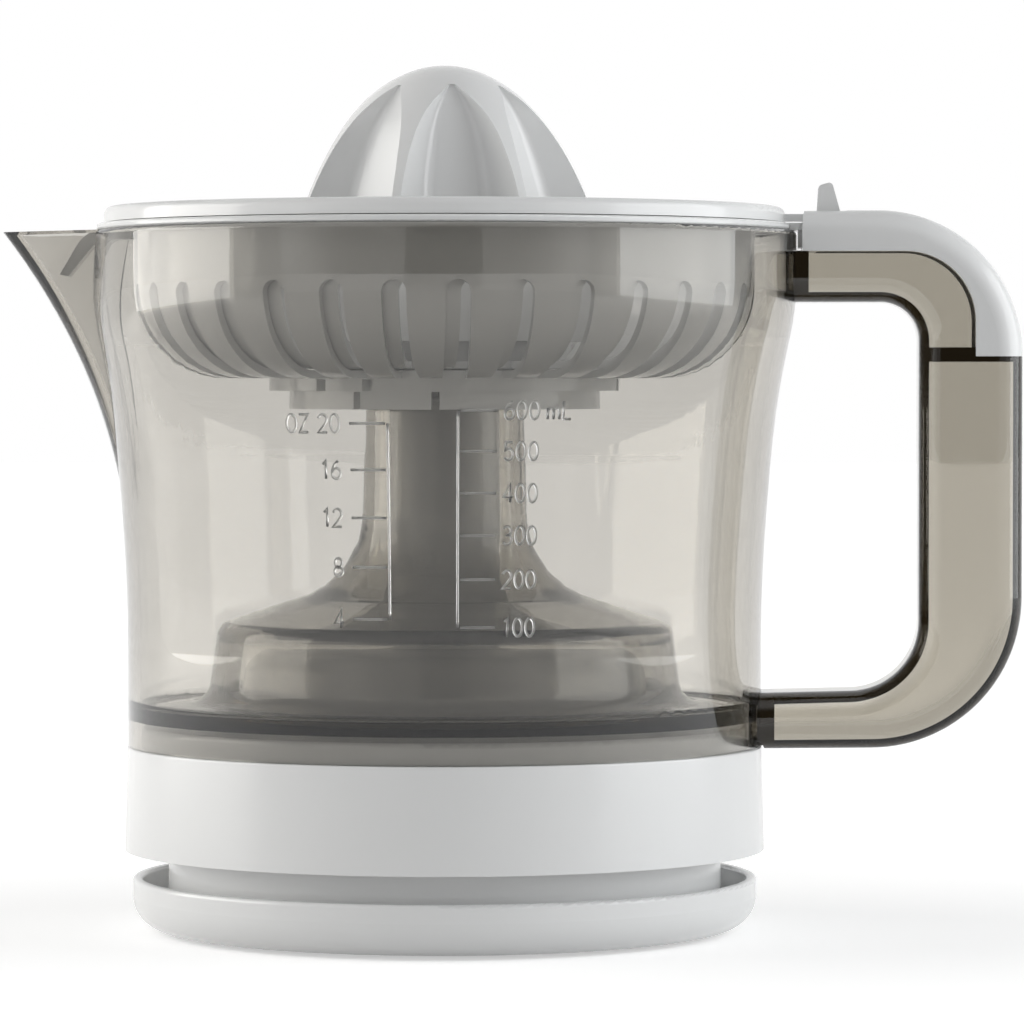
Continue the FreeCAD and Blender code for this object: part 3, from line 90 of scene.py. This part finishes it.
class Shading:
    """A material with one principled shader and the object's own coordinates."""

    def __init__(self, name):
        self.material = bpy.data.materials.new(name)
        self.material.use_nodes = True
        self.tree = self.material.node_tree
        self.shader = self.tree.nodes["Principled BSDF"]
        self.place = self.tree.nodes.new("ShaderNodeTexCoord").outputs["Object"]

    def set(self, **sockets):
        for name, value in sockets.items():
            self.shader.inputs[name.replace("_", " ")].default_value = value

    def link(self, source, name):
        """Link a socket to the shader's input of that name."""
        self.tree.links.new(source, self.shader.inputs[name])

    def noise(self, scale, detail=3.0, stretch=None):
        texture = self.tree.nodes.new("ShaderNodeTexNoise")
        texture.inputs["Scale"].default_value = scale
        texture.inputs["Detail"].default_value = detail
        where = self.place
        if stretch:
            mapping = self.tree.nodes.new("ShaderNodeMapping")
            mapping.inputs["Scale"].default_value = stretch
            self.tree.links.new(where, mapping.inputs["Vector"])
            where = mapping.outputs["Vector"]
        self.tree.links.new(where, texture.inputs["Vector"])
        return texture.outputs["Fac"]

    def ramp(self, source, low, high):
        node = self.tree.nodes.new("ShaderNodeValToRGB")
        for element, position, colour in zip(node.color_ramp.elements, NOISE_SPAN, (low, high)):
            element.position = position
            element.color = (*colour, 1.0)
        self.tree.links.new(source, node.inputs["Fac"])
        return node.outputs["Color"]

    def spread(self, source, low, high):
        return map_range(self.tree, source, NOISE_SPAN, (low, high))

    def bump(self, source, height):
        node = self.tree.nodes.new("ShaderNodeBump")
        node.inputs["Distance"].default_value = height
        node.inputs["Strength"].default_value = 1.0
        self.tree.links.new(source, node.inputs["Height"])
        self.link(node.outputs["Normal"], "Normal")


def moulded(name, low, high, rough, grain, grain_height):
    """Moulded plastic or rubber: faint cloudy colour, uneven gloss and a fine skin."""
    shading = Shading(name)
    shading.link(shading.ramp(shading.noise(CLOUD_SCALE, 1.0), low, high), "Base Color")
    shading.link(shading.spread(shading.noise(GLOSS_SCALE, 1.0), *rough), "Roughness")
    shading.bump(shading.noise(grain, 2.0), grain_height)
    return shading.material


def metal(name, low, high, rough, stretch):
    """Bare metal with drawn marks along one direction."""
    shading = Shading(name)
    shading.set(Metallic=1.0)
    marks = shading.noise(DRAWN_SCALE, 4.0, stretch)
    shading.link(shading.ramp(marks, low, high), "Base Color")
    shading.link(shading.spread(marks, *rough), "Roughness")
    shading.bump(marks, DRAWN_HEIGHT)
    return shading.material


def clear(name, rough, colour, absorbed):
    """Clear plastic; absorbed is the share of red, green and blue lost along the stated way through it."""
    shading = Shading(name)
    shading.set(Transmission_Weight=1.0, IOR=CLEAR_IOR, Base_Color=(*colour, 1.0))
    shading.link(shading.spread(shading.noise(POLISH_SCALE), *rough), "Roughness")
    fog = shading.tree.nodes.new("ShaderNodeVolumeAbsorption")
    per_metre = [-math.log(1.0 - share) / TINT_WAY for share in absorbed]
    fog.inputs["Color"].default_value = (*[1.0 - lost / FOG_DENSITY for lost in per_metre], 1.0)
    fog.inputs["Density"].default_value = FOG_DENSITY
    output = shading.tree.nodes["Material Output"]
    shading.tree.links.new(fog.outputs["Volume"], output.inputs["Volume"])
    return shading.material


MATERIALS = {
    "white_gloss": moulded(
        "white_gloss", (0.845, 0.85, 0.85), (0.86, 0.865, 0.865), (0.14, 0.2), 900.0, 0.000003),
    "smoked_clear": clear("smoked_clear", (0.0, 0.02), WHITE, (0.475, 0.495, 0.535)),
    "black_rubber": moulded(
        "black_rubber", (0.02, 0.02, 0.02), (0.035, 0.034, 0.033), (0.6, 0.8), 1500.0, 0.00004),
    "steel": metal("steel", (0.55, 0.55, 0.56), (0.68, 0.68, 0.69), (0.2, 0.35), (1.0, 1.0, 0.05)),
    "core_iron": metal("core_iron", (0.2, 0.2, 0.21), (0.32, 0.32, 0.33), (0.35, 0.55), (0.05, 0.05, 3.0)),
    "black_plastic": moulded(
        "black_plastic", (0.02, 0.02, 0.022), (0.03, 0.03, 0.032), (0.35, 0.5), 1500.0, 0.00003),
    "natural_plastic": moulded(
        "natural_plastic", (0.72, 0.69, 0.6), (0.8, 0.77, 0.69), (0.35, 0.5), 1200.0, 0.00002),
    "copper_wire": metal("copper_wire", (0.62, 0.27, 0.14), (0.8, 0.4, 0.22), (0.2, 0.35), (0.1, 0.1, 4.0)),
    "bush_brass": metal("bush_brass", (0.6, 0.44, 0.2), (0.75, 0.58, 0.3), (0.25, 0.4), (1.0, 1.0, 0.2)),
}

# The handle is moulded thicker than the jug, so it is darker.
SMOKED_GRIP = clear("smoked_grip", (0.0, 0.02), WHITE, (0.64, 0.67, 0.73))

for name, item in nodes.items():
    for entry in item.material_slots:
        key = entry.material.name.split(".")[0]
        if key in MATERIALS:
            entry.material = SMOKED_GRIP if name == "jug_handle" else MATERIALS[key]


# Moulded measuring scale on the front of the jug, in millimetres

def bow(across, up, wide, high, first, last):
    """Points along part of an ellipse, angles in degrees."""
    steps = max(4, int(abs(last - first) / 18))
    angles = [math.radians(first + (last - first) * k / steps) for k in range(steps + 1)]
    return [(across + wide * math.cos(a), up + high * math.sin(a)) for a in angles]


# strokes of the signs, with the height of a sign as one
GLYPHS = {
    "0": [bow(0.31, 0.5, 0.31, 0.5, 90, 450)],
    "1": [[(0.14, 0.8), (0.36, 1.0), (0.36, 0.0)]],
    "2": [bow(0.31, 0.71, 0.3, 0.29, 165, -30) + [(0.0, 0.0), (0.62, 0.0)]],
    "3": [bow(0.29, 0.76, 0.27, 0.24, 150, -90) + bow(0.29, 0.27, 0.31, 0.27, 85, -150)],
    "4": [[(0.46, 0.0), (0.46, 1.0), (0.0, 0.3), (0.64, 0.3)]],
    "5": [[(0.57, 1.0), (0.1, 1.0)] + bow(0.29, 0.32, 0.31, 0.32, 130, -150)],
    "6": [[(0.46, 1.0), (0.2, 0.82), (0.05, 0.56)] + bow(0.31, 0.3, 0.31, 0.3, 170, 530)],
    "8": [bow(0.31, 0.75, 0.25, 0.25, 270, 630) + bow(0.31, 0.25, 0.31, 0.25, 90, 450)],
    "m": [[(0.0, 0.0), (0.0, 0.62)], bow(0.21, 0.4, 0.21, 0.22, 180, 0) + [(0.42, 0.0)],
          bow(0.63, 0.4, 0.21, 0.22, 180, 0) + [(0.84, 0.0)]],
    "L": [[(0.0, 1.0), (0.0, 0.0), (0.52, 0.0)]],
    "O": [bow(0.36, 0.5, 0.36, 0.5, 90, 450)],
    "Z": [[(0.0, 1.0), (0.62, 1.0), (0.0, 0.0), (0.62, 0.0)]],
}
# room that a sign takes along a word, and how much its strokes are narrowed
ADVANCE = {"m": 0.9, "1": 0.64, "O": 0.78}
STEP = 0.69
NARROW = 0.8
# height of a sign
FIGURE = 3.55


def word_length(text):
    return sum(ADVANCE.get(sign, STEP) for sign in text) * FIGURE


def word(text, start, middle):
    """Strokes of a word, from its left end and the height of its middle."""
    strokes = []
    for sign in text:
        strokes += [[(start + a * NARROW * FIGURE, middle + (b - 0.5) * FIGURE) for a, b in line]
                    for line in GLYPHS[sign]]
        start += ADVANCE.get(sign, STEP) * FIGURE
    return strokes


# turn of the scale's middle from the front, in degrees, and the radius it is laid out for
FRONT_TURN = 2.5
SCALE_RADIUS = 67.2
# distance from the axis at which a point is clear of the jug
OUTSIDE = 120.0


class Wall:
    """Outer face of the jug, found by looking at it from outside."""

    def __init__(self, item):
        world = item.matrix_world
        points = [world @ vertex.co for vertex in item.data.vertices]
        self.tree = BVHTree.FromPolygons(points, [tuple(face.vertices) for face in item.data.polygons])

    def at(self, across, up):
        """Point and outward direction; across is measured along the wall from the middle of the scale."""
        angle = math.radians(FRONT_TURN) + across / SCALE_RADIUS
        out = Vector((math.sin(angle), -math.cos(angle), 0.0))
        start = Vector((AXIS_X, 0.0, up * MM)) + out * (OUTSIDE * MM)
        point, normal, _, _ = self.tree.ray_cast(start, -out)
        return point, normal


# half width and height of a bead, its gap to the wall, and the longest way between two of its rings
BEAD_HALF = 0.27
BEAD_HIGH = 0.16
BEAD_GAP = 0.03
BEAD_STEP = 1.5
BEAD_PROFILE = [(math.cos(math.radians(turn)), math.sin(math.radians(turn))) for turn in range(0, 181, 30)]
# most that a bead is widened at a bend
BEND_LIMIT = 0.5


def bead(mesh, wall, line):
    """Low rounded bead along a line on the wall."""
    fine = [line[0]]
    for here, there in zip(line, line[1:]):
        parts = max(1, int(math.dist(here, there) / BEAD_STEP))
        fine += [(here[0] + (there[0] - here[0]) * k / parts, here[1] + (there[1] - here[1]) * k / parts)
                 for k in range(1, parts + 1)]
    ends = [wall.at(*point) for point in fine]
    rings = []
    last = len(ends) - 1
    for number, (point, out) in enumerate(ends):
        before = (point - ends[number - 1][0]).normalized() if number else None
        after = (ends[number + 1][0] - point).normalized() if number < last else None
        along = ((before or after) + (after or before)).normalized()
        straight = abs(along.dot(before or after))
        side = along.cross(out).normalized() * (BEAD_HALF * MM / max(straight, BEND_LIMIT))
        rings.append([mesh.verts.new(point + side * a + out * (BEAD_GAP + BEAD_HIGH * b) * MM)
                      for a, b in BEAD_PROFILE])
    for one, two in zip(rings, rings[1:]):
        for k in range(len(one)):
            mesh.faces.new((one[k - 1], one[k], two[k], two[k - 1]))
    mesh.faces.new(rings[0][::-1])
    mesh.faces.new(rings[-1])


# amounts and the heights of their marks
ML_MARKS = ((600, 109.6), (500, 101.5), (400, 93.2), (300, 84.8), (200, 76.1), (100, 66.6))
OZ_MARKS = ((20, 107.0), (16, 97.8), (12, 88.3), (8, 78.5), (4, 68.2))
# places across of the upright lines, the ends of the marks, the amounts and the units
ML_UPRIGHT = 3.4
ML_TICK = (3.9, 10.9)
ML_AMOUNT = 12.4
ML_UNIT = 20.8
OZ_UPRIGHT = -10.1
OZ_TICK = (-10.6, -17.6)
OZ_AMOUNT_END = -19.0
OZ_UNIT = -30.6


def scale_lines():
    lines = [[(across, marks[0][1]), (across, marks[-1][1])]
             for across, marks in ((ML_UPRIGHT, ML_MARKS), (OZ_UPRIGHT, OZ_MARKS))]
    for amount, height in ML_MARKS:
        lines.append([(across, height) for across in ML_TICK])
        lines += word(str(amount), ML_AMOUNT, height)
    lines += word("mL", ML_UNIT, ML_MARKS[0][1])
    for amount, height in OZ_MARKS:
        lines.append([(across, height) for across in OZ_TICK])
        lines += word(str(amount), OZ_AMOUNT_END - word_length(str(amount)), height)
    lines += word("OZ", OZ_UNIT, OZ_MARKS[0][1])
    return lines


def make_scale():
    wall = Wall(nodes["jug"])
    mesh = bmesh.new()
    for line in scale_lines():
        bead(mesh, wall, line)
    bmesh.ops.recalc_face_normals(mesh, faces=mesh.faces)
    for face in mesh.faces:
        face.smooth = True
    data = bpy.data.meshes.new("scale_marks")
    mesh.to_mesh(data)
    mesh.free()
    data.materials.append(clear("moulded_marks", (0.32, 0.45), (0.93, 0.93, 0.92), (0.12, 0.13, 0.14)))
    item = bpy.data.objects.new("scale_marks", data)
    bpy.context.scene.collection.objects.link(item)
    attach(item, "jug")


make_scale()


# Studio

MIDDLE = Vector((AXIS_X, 0.0, 0.09))
# name, angle from the front with the right as positive, distance, height, width, tallness, radiance, colour
LAMPS = (
    ("soft_left", -91.0, 1.1, 0.16, 0.95, 1.1, 3.8, (1.0, 0.985, 0.95)),
    ("soft_right", 84.0, 1.1, 0.16, 1.0, 1.4, 2.85, (0.97, 0.99, 1.0)),
    ("fill_left", -29.0, 1.3, 0.25, 0.95, 1.4, 0.474, WHITE),
    ("fill_right", 32.0, 1.3, 0.25, 0.8, 1.4, 0.433, WHITE),
)


def area_lamp(name, azimuth, distance, height, wide, tall, radiance, colour):
    """Lamp that faces the middle of the object and isn't seen by the camera."""
    data = bpy.data.lights.new(name, "AREA")
    data.shape = "RECTANGLE"
    data.size = wide
    data.size_y = tall
    data.color = colour
    data.energy = radiance * math.pi * wide * tall
    lamp = bpy.data.objects.new(name, data)
    bpy.context.scene.collection.objects.link(lamp)
    angle = math.radians(azimuth)
    place = Vector((AXIS_X + distance * math.sin(angle), -distance * math.cos(angle), height))
    lamp.location = place
    lamp.rotation_euler = (MIDDLE - place).to_track_quat("-Z", "Y").to_euler()
    lamp.visible_camera = False


for lamp_row in LAMPS:
    area_lamp(*lamp_row)

SHOWN_RAYS = ("Is Camera Ray", "Is Glossy Ray", "Is Transmission Ray")


def by_ray(tree, plain, shown):
    """A level that is plain for light and shown where the background is seen, also in glass and gloss."""
    path = tree.nodes.new("ShaderNodeLightPath").outputs
    seen = path[SHOWN_RAYS[0]]
    for ray in SHOWN_RAYS[1:]:
        seen = math_node(tree, "MAXIMUM", seen, path[ray])
    straight = math_node(tree, "LESS_THAN", path["Diffuse Depth"], 0.5)
    return map_range(tree, math_node(tree, "MULTIPLY", seen, straight), (0.0, 1.0), (plain, shown))


# angles from the front between which the room grows dark, in degrees, and the share that is left there
DARK_EDGE = (52, 24)
DARK_SHARE = 0.06
TO_FRONT = (0.0, -1.0, 0.0)


def dark_front(tree, level):
    """The same level, but low in reflections of the room in front of the object."""
    way = tree.nodes.new("ShaderNodeTexCoord").outputs["Generated"]
    facing = tree.nodes.new("ShaderNodeVectorMath")
    facing.operation = "DOT_PRODUCT"
    facing.inputs[1].default_value = TO_FRONT
    tree.links.new(way, facing.inputs[0])
    edge = [math.cos(math.radians(angle)) for angle in DARK_EDGE]
    front = map_range(tree, facing.outputs["Value"], edge, (0.0, 1.0), "SMOOTHSTEP")
    reflections = tree.nodes.new("ShaderNodeLightPath").outputs["Glossy Depth"]
    mirrored = math_node(tree, "MINIMUM", reflections, 1.0)
    both = math_node(tree, "MULTIPLY", front, mirrored)
    share = map_range(tree, both, (0.0, 1.0), (1.0, DARK_SHARE))
    return math_node(tree, "MULTIPLY", level, share)


# light of the room, and the background's white
ROOM_LEVEL = 0.26
WHITE_LEVEL = 1.0

world = bpy.data.worlds.new("studio")
bpy.context.scene.world = world
world.use_nodes = True
back = world.node_tree.nodes["Background"]
back.inputs["Color"].default_value = (*WHITE, 1.0)
sky = dark_front(world.node_tree, by_ray(world.node_tree, ROOM_LEVEL, WHITE_LEVEL))
world.node_tree.links.new(sky, back.inputs["Strength"])

# half side of the floor, its two shades, and its glow near the object and far off
REACH = 6.0
FLOOR_SHADES = ((0.79, 0.79, 0.79), (0.81, 0.81, 0.81))
FLOOR_CLOUD = 6.0
GLOW_SPAN = (0.1, 0.6)
GLOW_LEVELS = (0.5, 0.79)


def make_floor():
    mesh = bpy.data.meshes.new("floor")
    corners = [(-REACH, -REACH, 0), (REACH, -REACH, 0), (REACH, REACH, 0), (-REACH, REACH, 0)]
    mesh.from_pydata(corners, [], [(0, 1, 2, 3)])
    floor = bpy.data.objects.new("floor", mesh)
    bpy.context.scene.collection.objects.link(floor)
    ground = Shading("floor")
    ground.link(ground.ramp(ground.noise(FLOOR_CLOUD), *FLOOR_SHADES), "Base Color")
    ground.set(Roughness=0.9, Emission_Color=(*WHITE, 1.0))
    far = ground.tree.nodes.new("ShaderNodeVectorMath")
    far.operation = "LENGTH"
    ground.tree.links.new(ground.place, far.inputs[0])
    level = map_range(ground.tree, far.outputs["Value"], GLOW_SPAN, GLOW_LEVELS)
    shown = by_ray(ground.tree, 0.0, WHITE_LEVEL)
    ground.link(math_node(ground.tree, "MULTIPLY", shown, level), "Emission Strength")
    mesh.materials.append(ground.material)


make_floor()


# Camera

DISTANCE = 1.1
EYE = 0.116
AIM = Vector((0.0004, 0.0, 0.0878))
AZIMUTH = 2.5
# width of the picture in pixels, and the size of a pixel at the object
PICTURE = 1024
PIXEL = 0.00021
SENSOR = 36.0

camera_data = bpy.data.cameras.new("camera")
camera_data.sensor_width = SENSOR
camera_data.lens = SENSOR * DISTANCE / (PICTURE * PIXEL)
camera_data.clip_start = 0.01
camera = bpy.data.objects.new("camera", camera_data)
bpy.context.scene.collection.objects.link(camera)
turn = math.radians(AZIMUTH)
camera.location = AIM + Vector((math.sin(turn), -math.cos(turn), 0.0)) * DISTANCE
camera.location.z = EYE
camera.rotation_euler = (AIM - camera.location).to_track_quat("-Z", "Y").to_euler()
bpy.context.scene.camera = camera
bpy.context.scene.view_settings.view_transform = "Standard"
